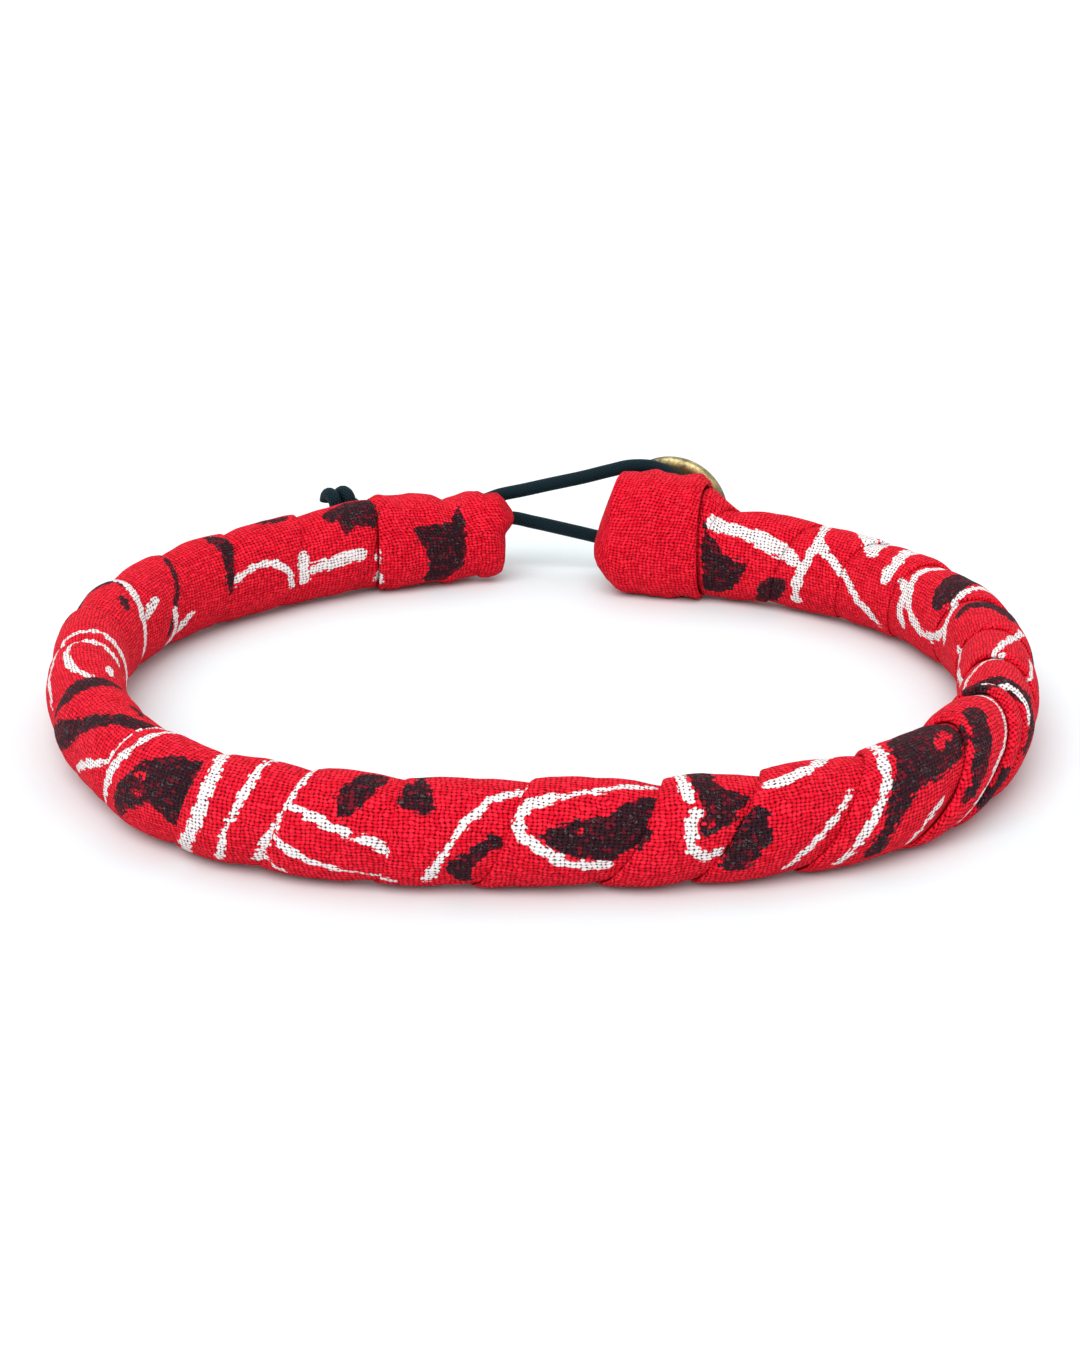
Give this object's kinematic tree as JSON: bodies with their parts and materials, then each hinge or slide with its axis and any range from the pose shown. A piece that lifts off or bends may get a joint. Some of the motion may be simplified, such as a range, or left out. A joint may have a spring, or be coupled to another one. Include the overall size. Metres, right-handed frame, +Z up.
{
  "type": "bandana bracelet",
  "caption": "Open ring of padded band wound with a folded strip of printed red cotton, closed by an elastic loop hooked behind a domed brass button.",
  "frame": {"origin": "on the surface that the bracelet lies on, under the middle of its outline without the cord", "axes": "+Z up from that surface, along the bracelet's width on the wrist; -Y towards the front of the ring, opposite the button; +X to the right as seen from the front"},
  "size_m": [0.0705, 0.0698, 0.0101],
  "materials": {
    "bandana_cotton": "plain-weave cotton, red with a white and black bandana print",
    "elastic": "round elastic cord, dark teal to black",
    "antique_brass": "antique brass, darkened, worn bright at the rim"
  },
  "bodies": {
    "root": {"wound_band": "bandana_cotton", "loop_end_wrap": "bandana_cotton", "button_end_wrap": "bandana_cotton", "elastic_loop": "elastic", "elastic_knot": "elastic", "button": "antique_brass"}
  },
  "joints": []
}
